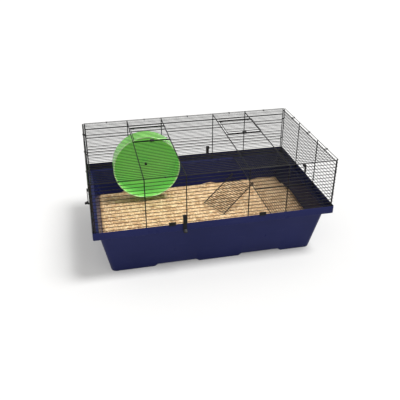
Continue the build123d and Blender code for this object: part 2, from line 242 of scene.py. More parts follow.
def lacquered_wire():
    material, tree, shader = finish_of("lacquered_wire", Specular_IOR_Level=0.16, IOR=1.5)
    black = ramp(tree, grain(tree, 130.0), (0.3, (0.0030, 0.0030, 0.0036)), (0.8, (0.0060, 0.0060, 0.0070)))
    tree.links.new(black, shader.inputs["Base Color"])
    gloss = ramp(tree, grain(tree, 240.0, 4.0), (0.3, 0.24), (0.8, 0.42))
    tree.links.new(gloss, shader.inputs["Roughness"])
    relief(tree, shader, (grain(tree, 420.0, 2.0), 0.00012))
    return material


def black_plastic():
    material, tree, shader = finish_of("black_plastic", IOR=1.49, Specular_IOR_Level=0.14)
    black = ramp(tree, grain(tree, 80.0), (0.3, (0.0045, 0.0045, 0.0050)), (0.8, (0.0090, 0.0090, 0.0100)))
    tree.links.new(black, shader.inputs["Base Color"])
    gloss = ramp(tree, grain(tree, 160.0, 5.0), (0.3, 0.38), (0.8, 0.55))
    tree.links.new(gloss, shader.inputs["Roughness"])
    relief(tree, shader, (grain(tree, 1800.0, 2.0), 0.00006))
    return material


def green_translucent():
    # The emission is a painted glow: the wheel gives off a faint green light of its own to look brighter.
    material, tree, shader = finish_of(
        "green_translucent", IOR=1.45, Transmission_Weight=0.14, Specular_IOR_Level=0.45,
        Subsurface_Weight=0.45, Subsurface_Scale=0.012, Subsurface_Radius=(0.5, 1.0, 0.35),
        Emission_Color=(0.38, 1.0, 0.32, 1.0), Emission_Strength=0.07,
    )
    cloud = grain(tree, 9.0, 2.0)
    green = ramp(tree, cloud, (0.3, (0.270, 0.780, 0.145)), (0.75, (0.320, 0.850, 0.185)))
    # Painted highlight: the base colour pales towards the front bead, standing in for the light that edge
    # catches.
    from_front = calc(tree, "SUBTRACT", place_along(tree, "Y"), WHEEL_FRONT - BEAD)
    bead_highlight_share = ramp(tree, calc(tree, "MULTIPLY", from_front, 150.0), (0.52, 0.6), (0.62, 0.0))
    painted_bead_highlight = blend(tree, bead_highlight_share, green, (0.80, 0.97, 0.66, 1.0))
    tree.links.new(painted_bead_highlight, shader.inputs["Base Color"])
    gloss = ramp(tree, grain(tree, 45.0, 4.0), (0.3, 0.20), (0.8, 0.30))
    tree.links.new(gloss, shader.inputs["Roughness"])
    relief(tree, shader, (grain(tree, 30.0, 2.0), 0.0001), (grain(tree, 900.0, 2.0), 0.00003))
    return material


def bright_steel():
    material, tree, shader = finish_of("bright_steel", Metallic=1.0)
    tone = ramp(tree, grain(tree, 300.0, 4.0, (1, 12, 1)), (0.3, 0.48), (0.8, 0.66))
    tree.links.new(tone, shader.inputs["Base Color"])
    gloss = ramp(tree, grain(tree, 500.0, 4.0, (1, 9, 1)), (0.3, 0.22), (0.8, 0.36))
    tree.links.new(gloss, shader.inputs["Roughness"])
    relief(tree, shader, (grain(tree, 900.0, 2.0, (1, 6, 1)), 0.00002))
    return material


def white_nylon():
    material, tree, shader = finish_of("white_nylon", Subsurface_Weight=0.2, Subsurface_Scale=0.002)
    tone = ramp(tree, grain(tree, 120.0), (0.3, (0.70, 0.69, 0.64)), (0.8, (0.78, 0.77, 0.72)))
    tree.links.new(tone, shader.inputs["Base Color"])
    gloss = ramp(tree, grain(tree, 300.0), (0.3, 0.35), (0.8, 0.48))
    tree.links.new(gloss, shader.inputs["Roughness"])
    relief(tree, shader, (grain(tree, 1400.0), 0.00003))
    return material


def pine(name, pale, tan, brown):
    """Planed pine, from pale sapwood to brown edges; the tint attribute picks each shaving's tone."""
    material, tree, shader = finish_of(name, Roughness=0.72, Specular_IOR_Level=0.3)
    tint = add(tree, "ShaderNodeAttribute", {"attribute_name": "tint"}).outputs["Fac"]
    streaks = grain(tree, 260.0, 4.0, (1, 4, 1.5))
    tone = calc(tree, "ADD", tint, calc(tree, "MULTIPLY", calc(tree, "SUBTRACT", streaks, 0.5), 0.5))
    patches = calc(tree, "MULTIPLY", calc(tree, "SUBTRACT", grain(tree, 22.0, 2.0), 0.5), 1.1)
    tone = calc(tree, "ADD", tone, patches)
    colour = ramp(tree, tone, (0.05, brown), (0.38, tan), (0.85, pale))
    tree.links.new(colour, shader.inputs["Base Color"])
    relief(tree, shader, (streaks, 0.0002))
    return material


def studio_white():
    material, tree, shader = finish_of(
        "studio_white", Roughness=0.9, Specular_IOR_Level=0.0,
        Emission_Color=(1, 1, 1, 1), Emission_Strength=0.20,
    )
    tone = ramp(tree, grain(tree, 2.0), (0.3, 0.457), (0.8, 0.463))
    tree.links.new(tone, shader.inputs["Base Color"])
    return material


NAVY = moulded_navy()
LACQUER = lacquered_wire()
BLACK = black_plastic()
GREEN = green_translucent()
STEEL = bright_steel()
NYLON = white_nylon()
SHAVINGS = pine("pine_shavings", (0.91, 0.71, 0.45), (0.80, 0.555, 0.315), (0.55, 0.325, 0.155))
# The bed under the shavings takes the same pine in darker tones.
DARKER_PINE = pine("darker_pine", (0.74, 0.52, 0.30), (0.58, 0.38, 0.20), (0.34, 0.20, 0.10))


# ------------------------------------------------------------------- pieces

def piece(name, mesh, material, body, nodes=(), sharp=35.0):
    """A finished piece at the origin, riding on its body and standing for its CAD nodes."""
    mesh.shade_smooth()
    mesh.set_sharp_from_angle(angle=radians(sharp))
    mesh.materials.clear()
    mesh.materials.append(material)
    made = linked(name, mesh)
    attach(made, body)
    if nodes:
        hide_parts(*nodes)
    return made


def linked(name, data):
    """A working object in the scene."""
    holder = bpy.data.objects.new(name, data)
    bpy.context.scene.collection.objects.link(holder)
    return holder


def settled(holder):
    """The plain mesh of a working object as it stands; the object is then removed."""
    graph = bpy.context.evaluated_depsgraph_get()
    mesh = bpy.data.meshes.new_from_object(holder.evaluated_get(graph), depsgraph=graph)
    bpy.data.objects.remove(holder)
    return mesh


def joined(name, meshes):
    """One mesh from several, attributes kept."""
    scratch = bmesh.new()
    for mesh in meshes:
        scratch.from_mesh(mesh)
    result = bpy.data.meshes.new(name)
    scratch.to_mesh(result)
    scratch.free()
    return result


def skin(name, rings, close=True):
    """A mesh through rings of the same number of points, capped at both ends when closed."""
    scratch = bmesh.new()
    loops = [[scratch.verts.new(point) for point in ring] for ring in rings]
    for first, second in zip(loops, loops[1:]):
        for index in range(len(first)):
            after = (index + 1) % len(first)
            scratch.faces.new((first[index], first[after], second[after], second[index]))
    if close:
        scratch.faces.new(loops[0])
        scratch.faces.new(loops[-1])
    bmesh.ops.recalc_face_normals(scratch, faces=scratch.faces)
    mesh = bpy.data.meshes.new(name)
    scratch.to_mesh(mesh)
    scratch.free()
    return mesh


# ---------------------------------------------------------------------- tub

def stations(half, arches):
    """Places along a straight side, as shares of its half length, close together on the arch ramps."""
    places = {step / 12 for step in range(-12, 13)}
    for start, end in arches:
        for step in range(7):
            share = step / 6
            places.add((start + ARCH_RAMP * share) / half)
            places.add((end - ARCH_RAMP * share) / half)
    return sorted(places)


SIDE_X = stations(FOOT[0] / 2 - FOOT[2], LONG_ARCHES)
SIDE_Y = stations(FOOT[1] / 2 - FOOT[2], END_ARCHES)


def outline(width, depth, radius):
    """Points around a rounded rectangle, anticlockwise from the front left."""
    half_x, half_y = width / 2 - radius, depth / 2 - radius
    points = []
    for turn in range(4):
        along, out = (half_x, half_y) if turn % 2 == 0 else (half_y, half_x)
        shares = SIDE_X if turn % 2 == 0 else SIDE_Y
        spin = Matrix.Rotation(turn * pi / 2, 2)
        for share in shares:
            points.append(spin @ Vector((share * along, -out - radius)))
        for step in range(1, CORNER_STEPS):
            angle = -pi / 2 + step / CORNER_STEPS * pi / 2
            points.append(spin @ Vector((along + radius * cos(angle), -out + radius * sin(angle))))
    return points


def rim_ring(inset, z):
    points = outline(LENGTH - 2 * inset, DEPTH - 2 * inset, max(RIM_RADIUS - inset, 0.0010))
    return [(p.x, p.y, z) for p in points]


def wall_points(inset, z):
    """The tapered wall's outline at height z, moved in by inset."""
    share = z / LEDGE_Z
    width, depth, radius = (low + (high - low) * share for low, high in zip(FOOT, MOUTH))
    return outline(width - 2 * inset, depth - 2 * inset, radius - inset)


def wall_ring(inset, z):
    return [(p.x, p.y, z) for p in wall_points(inset, z)]


def arch_lift(point):
    """How far the foot is cut up at this place around the tub."""
    on_end = abs(point.x) / FOOT[0] > abs(point.y) / FOOT[1]
    along, arches = (point.y, END_ARCHES) if on_end else (point.x, LONG_ARCHES)
    for start, end in arches:
        inside = min(along - start, end - along) / ARCH_RAMP
        share = min(max(inside, 0.0), 1.0)
        if share > 0.0:
            return ARCH_LIFT * share * share * (3 - 2 * share)
    return 0.0


def foot_ring(inset, z):
    return [(p.x, p.y, z + arch_lift(p)) for p in wall_points(inset, z)]


def quarter(start, end):
    """Sine and cosine steps from one angle to another, in degrees."""
    for step in range(BEND_STEPS + 1):
        angle = radians(start + (end - start) * step / BEND_STEPS)
        yield cos(angle), sin(angle)


def tub_rings():
    """Up the inside, across the ledge, over the rim, down the outside and under the floor."""
    rings = []
    floor_bend, mouth_bend, root_bend, lip_bend, foot_bend = 0.009, 0.002, 0.0015, 0.0008, 0.0012
    for c, s in quarter(-90, 0):
        rings.append(wall_ring(WALL + floor_bend * (1 - c), FLOOR_Z + floor_bend * (1 + s)))
    for c, s in quarter(0, 90):
        rings.append(wall_ring(WALL - mouth_bend * (1 - c), LEDGE_Z - mouth_bend * (1 - s)))
    for c, s in quarter(-90, 0):
        rings.append(rim_ring(RIM_WALL + root_bend * (1 - c), LEDGE_Z + root_bend * (1 + s)))
    round_top = RIM_WALL / 2
    for c, s in list(quarter(0, 90)) + list(quarter(90, 180))[1:]:
        rings.append(rim_ring(round_top * (1 + c), RIM_Z - round_top * (1 - s)))
    under = LEDGE_Z - WALL
    for c, s in quarter(180, 270):
        rings.append(rim_ring(lip_bend * (1 + c), under + lip_bend * (1 + s)))
    for c, s in quarter(90, 0):
        rings.append(wall_ring(-mouth_bend * (1 - c), under - mouth_bend * (1 - s)))
    rings.append(wall_ring(0, LEDGE_Z / 2))
    rings.append(wall_ring(0, FOOT_HEIGHT + 0.004))
    for c, s in quarter(180, 270):
        rings.append(foot_ring(foot_bend * (1 + c), foot_bend * (1 + s)))
    for c, s in quarter(270, 360):
        rings.append(foot_ring(FOOT_WIDTH - foot_bend * (1 - c), foot_bend * (1 + s)))
    rings.append(wall_ring(FOOT_WIDTH, FOOT_HEIGHT))
    return rings


def make_tub():
    piece("navy_tub", skin("navy_tub", tub_rings()), NAVY, "cage", ["tray"])


# ----------------------------------------------------------- geometry trees

def new_tree(name, inputs):
    tree = bpy.data.node_groups.new(name, "GeometryNodeTree")
    face = tree.interface
    face.new_socket("Geometry", in_out="INPUT", socket_type="NodeSocketGeometry")
    face.new_socket("Geometry", in_out="OUTPUT", socket_type="NodeSocketGeometry")
    for label, kind in inputs:
        face.new_socket(label, in_out="INPUT", socket_type="NodeSocket" + kind)
    return tree, tree.nodes.new("NodeGroupInput").outputs


def end_tree(tree, geometry, material):
    """Realize the instances, give them their material and end the tree."""
    solid = add(tree, "GeometryNodeRealizeInstances", Geometry=geometry)
    painted = add(tree, "GeometryNodeSetMaterial", Geometry=solid.outputs[0], Material=material)
    add(tree, "NodeGroupOutput", Geometry=painted.outputs[0])


def grown(name, tree, values, mesh=None):
    """The plain mesh that a tree makes with these input values."""
    holder = linked(name, mesh or bpy.data.meshes.new(name))
    modifier = holder.modifiers.new(name, "NODES")
    modifier.node_group = tree
    for item in tree.interface.items_tree:
        if item.in_out == "INPUT" and item.name in values:
            modifier[item.identifier] = values[item.name]
    made = settled(holder)
    made.name = name
    return made


def wire_tree():
    """Parallel wires with domed ends: Count wires of one Run, a Step apart."""
    tree, given = new_tree("parallel_wires", [
        ("Start", "Vector"), ("Run", "Vector"), ("Step", "Vector"),
        ("Count", "Int"), ("Diameter", "Float"), ("Material", "Material"),
    ])
    radius = calc(tree, "MULTIPLY", given["Diameter"], 0.5)
    starts = add(
        tree, "GeometryNodeMeshLine",
        Count=given["Count"], Start_Location=given["Start"], Offset=given["Step"],
    )
    middle = add(tree, "GeometryNodeCurvePrimitiveLine", End=given["Run"])
    section = add(tree, "GeometryNodeCurvePrimitiveCircle", Resolution=WIRE_SIDES, Radius=radius)
    rod = add(
        tree, "GeometryNodeCurveToMesh",
        Curve=middle.outputs[0], Profile_Curve=section.outputs[0], Fill_Caps=False,
    )
    dome = add(tree, "GeometryNodeMeshUVSphere", Segments=WIRE_SIDES, Rings=8, Radius=radius)
    far_dome = add(tree, "GeometryNodeTransform", Geometry=dome.outputs[0], Translation=given["Run"])
    one = add(tree, "GeometryNodeJoinGeometry")
    for part in (far_dome, dome, rod):
        tree.links.new(part.outputs[0], one.inputs[0])
    row = add(tree, "GeometryNodeInstanceOnPoints", Points=starts.outputs[0], Instance=one.outputs[0])
    end_tree(tree, row.outputs[0], given["Material"])
    return tree


def nugget_tree():
    """Weld nuggets on a grid of crossings."""
    tree, given = new_tree("weld_nuggets", [
        ("Start", "Vector"), ("Step", "Vector"), ("Count", "Int"),
        ("Cross Step", "Vector"), ("Cross Count", "Int"), ("Size", "Vector"), ("Material", "Material"),
    ])
    row = add(
        tree, "GeometryNodeMeshLine",
        Count=given["Count"], Start_Location=given["Start"], Offset=given["Step"],
    )
    column = add(tree, "GeometryNodeMeshLine", Count=given["Cross Count"], Offset=given["Cross Step"])
    grid = add(tree, "GeometryNodeInstanceOnPoints", Points=row.outputs[0], Instance=column.outputs[0])
    points = add(tree, "GeometryNodeRealizeInstances", Geometry=grid.outputs[0])
    ball = add(tree, "GeometryNodeMeshUVSphere", Segments=8, Rings=5, Radius=1.0)
    nuggets = add(
        tree, "GeometryNodeInstanceOnPoints",
        Points=points.outputs[0], Instance=ball.outputs[0], Scale=given["Size"],
    )
    end_tree(tree, nuggets.outputs[0], given["Material"])
    return tree


WIRES = wire_tree()
NUGGETS = nugget_tree()


def wires(start, run, diameter, count=1, step=(0, 0, 0)):
    values = {
        "Start": start, "Run": run, "Step": step,
        "Count": count, "Diameter": diameter, "Material": LACQUER,
    }
    return grown("wires", WIRES, values)


def nuggets(start, step, count, cross_step=(0, 0, 0), cross_count=1, size=NUGGET):
    values = {
        "Start": start, "Step": step, "Count": count, "Cross Step": cross_step,
        "Cross Count": cross_count, "Size": size, "Material": LACQUER,
    }
    return grown("nuggets", NUGGETS, values)


# -------------------------------------------------------------------- cage

FRONT_FACE = -PANEL_LOW.y - FINE
UPRIGHT_Z = (PANEL_LOW.z, PANEL_HIGH.z)
ROW_LOW = PANEL_LOW.z + THICK / 2
ROW_HIGH = PANEL_HIGH.z - THICK / 2
ROW_PITCH = (ROW_HIGH - ROW_LOW) / ROWS
HALF_FRONT = PANEL_HIGH.x
END_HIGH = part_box("right_panel")[1]
SIDE_FACE = END_HIGH.x - FINE
HALF_END = END_HIGH.y
ROOF_FACE = PANEL_HIGH.z - THICK
ROOF_EDGE_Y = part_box("roof_cross_wires")[1].y - THICK / 2
ROOF_PITCH = 2 * ROOF_EDGE_Y / ROOF_COLUMNS
ROOF_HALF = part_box("roof_mesh_front")[1].x


def fence(half, uprights, face, turn):
    """One wire panel: uprights inside, rows outside, as if it were the front; turn carries it round."""
    made = []
    height = UPRIGHT_Z[1] - UPRIGHT_Z[0] - THICK
    inside = -face + THICK / 2
    for x in uprights:
        made.append(wires((x, inside, UPRIGHT_Z[0] + THICK / 2), (0, 0, height), THICK))
        joint = (x, -face, ROW_LOW)
        made.append(nuggets(joint, (0, 0, ROW_PITCH), ROWS + 1, size=(NUGGET[0], NUGGET[2], NUGGET[1])))
    lowest = (-half + FINE / 2, -face - FINE / 2, ROW_LOW)
    made.append(wires(lowest, (2 * half - FINE, 0, 0), FINE, ROWS + 1, (0, 0, ROW_PITCH)))
    mesh = joined("fence", made)
    mesh.transform(Matrix.Rotation(turn, 4, "Z"))
    return mesh


def make_fences():
    long_uprights = [sign * x for x in CROSS_X + (HALF_FRONT - THICK / 2,) for sign in (-1, 1)]
    end_uprights = [sign * y for y in (END_UPRIGHT_Y, HALF_END - THICK / 2) for sign in (-1, 1)]
    for name, half, uprights, face, turn in (
        ("front", HALF_FRONT, long_uprights, FRONT_FACE, 0),
        ("back", HALF_FRONT, long_uprights, FRONT_FACE, pi),
        ("left", HALF_END, end_uprights, SIDE_FACE, -pi / 2),
        ("right", HALF_END, end_uprights, SIDE_FACE, pi / 2),
    ):
        mesh = fence(half, uprights, face, turn)
        piece(f"{name}_fence", mesh, LACQUER, "cage", [f"{name}_panel"])


def roof_y(index):
    return -ROOF_EDGE_Y + index * ROOF_PITCH


def make_roof():
    made = []
    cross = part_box("roof_cross_wires")[1]
    places = [sign * x for x in CROSS_X + (cross.x - THICK / 2,) for sign in (-1, 1)]
    for x in places:
        start = (x, -cross.y + THICK / 2, ROOF_FACE - THICK / 2)
        made.append(wires(start, (0, 2 * cross.y - THICK, 0), THICK))
        joint = (x, -ROOF_EDGE_Y, ROOF_FACE)
        made.append(nuggets(joint, (0, ROOF_PITCH, 0), ROOF_COLUMNS + 1))
    full, z = 2 * ROOF_HALF - FINE, ROOF_FACE + FINE / 2
    left = -ROOF_HALF + FINE / 2
    made.append(wires((left, roof_y(0), z), (full, 0, 0), FINE, STOP_INDEX, (0, ROOF_PITCH, 0)))
    behind = ROOF_COLUMNS - HINGE_INDEX
    made.append(wires((left, roof_y(HINGE_INDEX + 1), z), (full, 0, 0), FINE, behind, (0, ROOF_PITCH, 0)))
    bay = HINGE_INDEX - STOP_INDEX + 1
    for start, end in ((-ROOF_HALF, -CROSS_X[1]), (-CROSS_X[0], CROSS_X[0]), (CROSS_X[1], ROOF_HALF)):
        run = (end - start - FINE, 0, 0)
        made.append(wires((start + FINE / 2, roof_y(STOP_INDEX), z), run, FINE, bay, (0, ROOF_PITCH, 0)))
    for index in (STOP_INDEX, HINGE_INDEX):
        for start in (-CROSS_X[1], CROSS_X[0]):
            place = (start, roof_y(index), ROOF_FACE + THICK / 2)
            made.append(wires(place, (CROSS_X[1] - CROSS_X[0], 0, 0), THICK))
    nodes = [
        "roof_cross_wires", "roof_mesh_front", "roof_mesh_back", "roof_mesh_left", "roof_mesh_middle",
        "roof_mesh_right", "doorway_stop_wires", "doorway_hinge_wires",
    ]
    piece("roof_wires", joined("roof_wires", made), LACQUER, "cage", nodes)


def bent_wire(name, points, diameter, closed=False):
    """A round wire through points, its corners rounded by its own curve."""
    curve = bpy.data.curves.new(name, "CURVE")
    curve.dimensions = "3D"
    curve.bevel_depth = diameter / 2
    curve.bevel_resolution = 4
    curve.use_fill_caps = True
    spline = curve.splines.new("POLY")
    spline.points.add(len(points) - 1)
    for target, point in zip(spline.points, points):
        target.co = (*point, 1)
    spline.use_cyclic_u = closed
    return settled(linked(name, curve))


def rounded_loop(corners, radius, steps=6):
    """The corners of a flat loop, each replaced by a short arc."""
    path = []
    count = len(corners)
    for index, corner in enumerate(corners):
        here = Vector(corner)
        before = (Vector(corners[index - 1]) - here).normalized()
        after = (Vector(corners[(index + 1) % count]) - here).normalized()
        centre = here + (before + after) * radius
        for step in range(steps + 1):
            angle = pi / 2 * step / steps
            path.append(centre - after * radius * cos(angle) - before * radius * sin(angle))
    return path


def ring_at(centre, axis, radius, diameter):
    """A closed ring of wire around an axis."""
    turn = Vector((0, 0, 1)).rotation_difference(Vector(axis)).to_matrix().to_4x4()
    place = Matrix.Translation(centre) @ turn
    steps = 28
    angles = [2 * pi * step / steps for step in range(steps)]
    path = [place @ Vector((radius * cos(angle), radius * sin(angle), 0)) for angle in angles]
    return bent_wire("ring", path, diameter, True)


def make_door(name):
    low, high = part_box(f"{name}_door_frame")
    left, right = low.x + DOOR_WIRE / 2, high.x - DOOR_WIRE / 2
    front, back = roof_y(STOP_INDEX), roof_y(HINGE_INDEX)
    z = high.z - DOOR_WIRE / 2
    corners = [(left, front, z), (right, front, z), (right, back, z), (left, back, z)]
    made = [bent_wire("frame", rounded_loop(corners, DOOR_CORNER), DOOR_WIRE, True)]
    count = HINGE_INDEX - STOP_INDEX - 1
    mesh_z = z + DOOR_WIRE / 2 + FINE / 2
    first = (left, roof_y(STOP_INDEX + 1), mesh_z)
    made.append(wires(first, (right - left, 0, 0), FINE, count, (0, ROOF_PITCH, 0)))
    contact = (left, first[1], mesh_z - FINE / 2)
    made.append(nuggets(contact, (0, ROOF_PITCH, 0), count, (right - left, 0, 0), 2))
    hinge_z = ROOF_FACE + THICK / 2
    loop_radius = THICK / 2 + LOOP_GAP + LOOP_WIRE / 2
    for start in (left + 0.008, right - 0.013):
        for turn in range(LOOP_TURNS):
            place = (start + LOOP_WIRE * (turn + 0.6), back, hinge_z)
            made.append(ring_at(place, (1, 0, 0), loop_radius, LOOP_WIRE))
    nodes = [f"{name}_door_frame", f"{name}_door_mesh"]
    piece(f"{name}_door_wires", joined("door", made), LACQUER, f"{name}_door", nodes)


def rounded_copy(node, bevel, name, material, body):
    """A CAD node's shape with its edges eased."""
    scratch = bmesh.new()
    scratch.from_mesh(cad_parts[node].data)
    bmesh.ops.remove_doubles(scratch, verts=scratch.verts, dist=0.00001)
    bmesh.ops.dissolve_limit(scratch, angle_limit=radians(2), verts=scratch.verts, edges=scratch.edges)
    mesh = bpy.data.meshes.new(name)
    scratch.to_mesh(mesh)
    scratch.free()
    holder = linked(name, mesh)
    ease = holder.modifiers.new("ease", "BEVEL")
    ease.width = bevel
    ease.segments = 3
    ease.limit_method = "ANGLE"
    ease.angle_limit = radians(50)
    return piece(name, settled(holder), material, body, [node])


# ------------------------------------------------------------ shelf, ladder

def make_shelf():
    edge_low, edge_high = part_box("shelf_edge_wires")
    left, right = edge_low.x + THICK / 2, edge_high.x - THICK / 2
    reach = edge_high.y - THICK / 2
    z = edge_high.z - THICK / 2
    made = [wires((x, -reach, z), (0, 2 * reach, 0), THICK) for x in (left, right)]
    pitch = (right - left) / SHELF_GAPS
    mesh_z = z - THICK / 2 + FINE / 2
    fine_start = (left + pitch, -reach - THICK / 2 + FINE / 2, mesh_z)
    fine_run = (0, 2 * reach + THICK - FINE, 0)
    made.append(wires(fine_start, fine_run, FINE, SHELF_GAPS - 1, (pitch, 0, 0)))
    for y in (-reach, *SHELF_CROSS_Y, reach):
        made.append(wires((left, y, z - THICK), (right - left, 0, 0), THICK))
        made.append(nuggets((left, y, z - THICK / 2), (pitch, 0, 0), SHELF_GAPS + 1))
    nodes = ["shelf_edge_wires", "shelf_cross_wires", "shelf_mesh"]
    piece("shelf_wires", joined("shelf", made), LACQUER, "cage", nodes)
    return left, z


def make_ladder(shelf_x, shelf_z):
    """Two hooked rails with rungs on top, leaning from the shelf's edge down to the litter."""
    across = Vector((sin(LADDER_YAW), -cos(LADDER_YAW), 0))
    level = cos(LADDER_TILT)
    rise = Vector((cos(LADDER_YAW) * level, sin(LADDER_YAW) * level, sin(LADDER_TILT)))
    out = across.cross(rise)
    near_hook = Vector((shelf_x, LADDER_Y, shelf_z))
    made = []
    for hook in (near_hook, near_hook - across * LADDER_WIDTH):
        foot = hook - rise * (LADDER_LENGTH - THICK / 2)
        made.append(wires(foot, rise * (LADDER_LENGTH - THICK / 2 - HOOK_RADIUS), THICK))
        made.append(ring_at(hook, across, HOOK_RADIUS, THICK))
    step = rise * (LADDER_LENGTH - 0.014) / (RUNG_COUNT - 1)
    lowest = near_hook - rise * (LADDER_LENGTH - 0.002)
    first = lowest + out * (THICK + FINE) / 2 + across * 0.001
    made.append(wires(first, -across * (LADDER_WIDTH + 0.002), FINE, RUNG_COUNT, step))
    contact = lowest + out * THICK / 2
    made.append(nuggets(contact, step, RUNG_COUNT, -across * LADDER_WIDTH, 2))
    nodes = ["ladder_rails", "ladder_rungs"]
    piece("ladder_wires", joined("ladder", made), LACQUER, "ladder", nodes)


# ------------------------------------------------------------------- wheel

def turned(name, profile, steps=144):
    """A closed profile of radius and Y, turned around the wheel's axis."""
    scratch = bmesh.new()
    loops = []
    for index in range(steps):
        angle = 2 * pi * index / steps
        loops.append([
            scratch.verts.new((WHEEL_X + r * cos(angle), y, WHEEL_Z + r * sin(angle))) for r, y in profile
        ])
    for index in range(steps):
        first, second = loops[index], loops[(index + 1) % steps]
        for k in range(len(profile)):
            after = (k + 1) % len(profile)
            scratch.faces.new((first[k], first[after], second[after], second[k]))
    bmesh.ops.recalc_face_normals(scratch, faces=scratch.faces)
    mesh = bpy.data.meshes.new(name)
    scratch.to_mesh(mesh)
    scratch.free()
    return mesh


def drum_profile():
    """Hub, disc, running wall and rolled bead, around the wall's section."""
    disc_front = WHEEL_BACK - WHEEL_WALL
    inner = WHEEL_RADIUS - WHEEL_WALL
    bend = 0.004
    points = [(AXLE_BORE, WHEEL_BACK), (AXLE_BORE, HUB_FRONT)]
    for c, s in quarter(-90, 0):
        points.append((HUB_RADIUS - 0.0012 * (1 - c), HUB_FRONT + 0.0012 * (1 + s)))
    for c, s in quarter(180, 90):
        points.append((HUB_RADIUS + 0.003 * (1 + c), disc_front - 0.003 * (1 - s)))
    for c, s in quarter(90, 0):
        points.append((inner - bend * (1 - c), disc_front - bend * (1 - s)))
    middle = WHEEL_RADIUS - WHEEL_WALL / 2
    for step in range(13):
        angle = radians(127 + 286 * step / 12)
        points.append((middle + BEAD * cos(angle), WHEEL_FRONT + BEAD * sin(angle)))
    for c, s in quarter(0, 90):
        points.append((WHEEL_RADIUS - bend * (1 - c), WHEEL_BACK - bend * (1 - s)))
    return points


def tread_tree():
    """Ribs across the running surface, spread evenly around the axle."""
    tree, given = new_tree("tread_ribs", [
        ("Axle", "Vector"), ("Reach", "Float"), ("Run", "Vector"),
        ("Radius", "Float"), ("Count", "Int"), ("Material", "Material"),
    ])
    around = add(tree, "GeometryNodeMeshCircle", Vertices=given["Count"], Radius=given["Reach"])
    upright = add(
        tree, "GeometryNodeTransform",
        Geometry=around.outputs[0], Translation=given["Axle"], Rotation=(pi / 2, 0, 0),
    )
    line = add(tree, "GeometryNodeCurvePrimitiveLine", End=given["Run"])
    section = add(tree, "GeometryNodeCurvePrimitiveCircle", Resolution=8, Radius=given["Radius"])
    rib = add(
        tree, "GeometryNodeCurveToMesh",
        Curve=line.outputs[0], Profile_Curve=section.outputs[0], Fill_Caps=True,
    )
    ribs = add(tree, "GeometryNodeInstanceOnPoints", Points=upright.outputs[0], Instance=rib.outputs[0])
    end_tree(tree, ribs.outputs[0], given["Material"])
    return tree


def make_wheel():
    drum = turned("drum", drum_profile())
    piece("wheel_shell", drum, GREEN, "wheel", ["wheel_drum"])
    start = WHEEL_FRONT + BEAD + 0.001
    values = {
        "Axle": (WHEEL_X, start, WHEEL_Z), "Reach": WHEEL_RADIUS - WHEEL_WALL - TREAD_RADIUS * 0.7,
        "Run": (0, WHEEL_BACK - WHEEL_WALL - start, 0), "Radius": TREAD_RADIUS,
        "Count": TREADS, "Material": GREEN,
    }
    ribs = grown("tread_ribs", tread_tree(), values)
    piece("tread_ribs", ribs, GREEN, "wheel", ["wheel_treads"])


# ------------------------------------------------------------------ litter

def litter_height(x, y):
    """The bedding's surface: level in front, falling to the back, dug out under the wheel."""
    share = min(max((y - SLOPE_START_Y) / SLOPE_RUN, 0.0), 1.0)
    z = LITTER_FRONT + (LITTER_BACK - LITTER_FRONT) * share
    z += HEAP_RISE * max(0.0, 1 - ((x - HEAP[0]) ** 2 + (y - HEAP[1]) ** 2) / HEAP_SPREAD)
    z += 0.0034 * noise.fractal(Vector((x * 11, y * 11, 3.0)), 0.8, 2.1, 3)
    z += 0.0022 * noise.noise(Vector((x * 60, y * 60, 9.0)))
    z += 0.0100 * share * share * noise.noise(Vector((x * 38, y * 20, 5.0)))
    under_wheel = max(0.0, 1 - abs(x - WHEEL_X) / 0.10) * (1.0 if 0.06 < y < 0.19 else 0.0)
    return min(z, LITTER_HIGHEST - WHEEL_HOLLOW * min(1.0, 2 * under_wheel))


def litter_edge(inset):
    """Where the bedding's surface meets the tapered wall, moved in by inset."""
    low, high = 0.060, 0.110
    edge = []
    for near, far in zip(wall_points(inset, low), wall_points(inset, high)):
        rise = (litter_height(far.x, far.y) - low) / (high - low)
        edge.append(near.lerp(far, rise))
    return edge


def surface_ring(edge, share):
    """The bedding's surface along its edge, drawn in to a share of the way from the middle."""
    places = [(point.x * share, point.y * share) for point in edge]
    return [(x, y, litter_height(x, y)) for x, y in places]


def litter_rings():
    """The bedding's top from the middle out, then down its sides to the tub's floor."""
    top_inset = WALL + WALL_CLEARANCE
    edge = litter_edge(top_inset)
    rings = [surface_ring(edge, step / LITTER_RINGS) for step in range(1, LITTER_RINGS + 1)]
    rings.append(wall_ring(top_inset, FLOOR_Z + 0.012))
    rings.append(wall_ring(top_inset + 0.009, FLOOR_Z + 0.0006))
    return rings


def curl(length, width, bend, twist, steps):
    """A thin closed strip, curled along its length and twisted a little."""
    thickness = 0.0004
    rings = []
    for step in range(steps + 1):
        share = step / steps - 0.5
        angle = bend * share
        radius = length / bend
        centre = Vector((radius * sin(angle), 0, radius * (cos(angle) - 1)))
        up = Vector((sin(angle), 0, cos(angle)))
        side = Vector((0, cos(twist * share), sin(twist * share)))
        narrow = width * (1 - 0.55 * (2 * share) ** 2) / 2
        rings.append([
            centre + side * narrow + up * thickness, centre - side * narrow + up * thickness,
            centre - side * narrow - up * thickness, centre + side * narrow - up * thickness,
        ])
    return skin("curl", rings)


